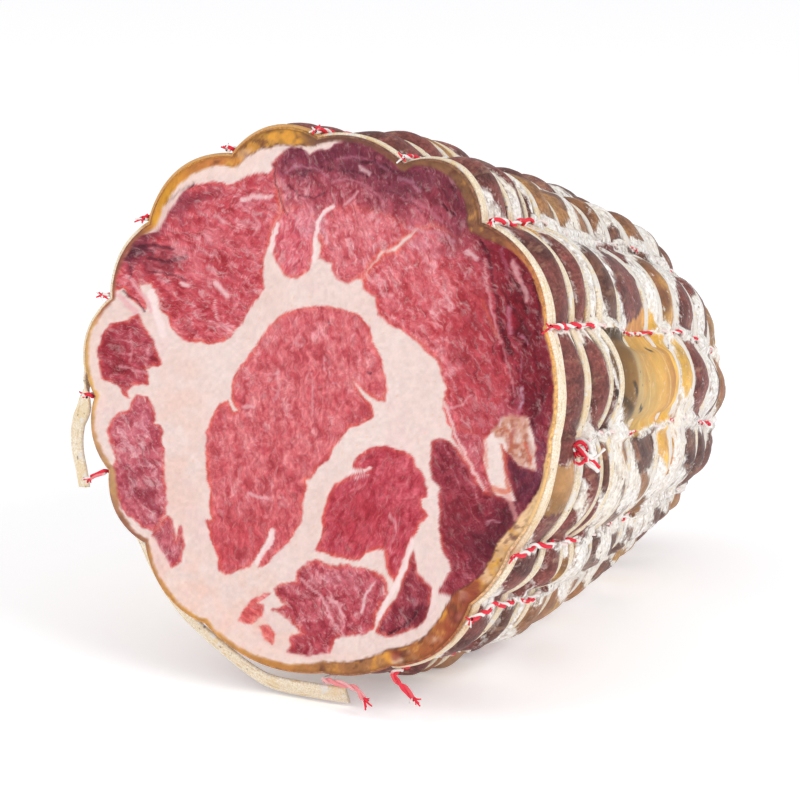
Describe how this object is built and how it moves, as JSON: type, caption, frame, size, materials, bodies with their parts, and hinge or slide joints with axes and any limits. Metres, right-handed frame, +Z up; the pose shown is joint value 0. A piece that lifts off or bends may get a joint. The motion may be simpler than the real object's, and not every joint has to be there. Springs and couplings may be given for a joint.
{
  "type": "cured pork coppa half",
  "caption": "Half a cured pork neck lying on its side, cut face showing, wrapped in string netting with elastic rings.",
  "frame": {"origin": "on the floor under the middle of the coppa's box, without the loose band", "axes": "+Y along the axis of the coppa from the cut face to the round end, +X to the right when looking at the cut face, +Z up"},
  "size_m": [0.1179, 0.1776, 0.1202],
  "materials": {
    "cured_meat": "dry cured pork: dark red lean and pale fat on the cut, browned casing with pale bloom round it",
    "elastic_band": "cream covered elastic, matt, stained amber in places",
    "red_white_twine": "two-ply cotton twine, one ply red and one white, matt"
  },
  "bodies": {
    "root": {"coppa": "cured_meat", "ring_01": "elastic_band", "ring_02": "elastic_band", "ring_03": "elastic_band", "ring_04": "elastic_band", "ring_05": "elastic_band", "ring_06": "elastic_band", "ring_07": "elastic_band", "ring_08": "elastic_band", "ring_09": "elastic_band", "ring_10": "elastic_band", "ring_11": "elastic_band", "loose_band": "elastic_band", "twine_01": "red_white_twine", "twine_02": "red_white_twine", "twine_03": "red_white_twine", "twine_04": "red_white_twine", "twine_05": "red_white_twine", "twine_06": "red_white_twine", "twine_07": "red_white_twine", "twine_08": "red_white_twine", "twine_09": "red_white_twine", "twine_10": "red_white_twine", "twine_11": "red_white_twine", "twine_12": "red_white_twine", "twine_13": "red_white_twine", "twine_14": "red_white_twine", "twine_15": "red_white_twine", "twine_16": "red_white_twine", "end_knot": "red_white_twine"}
  },
  "joints": []
}
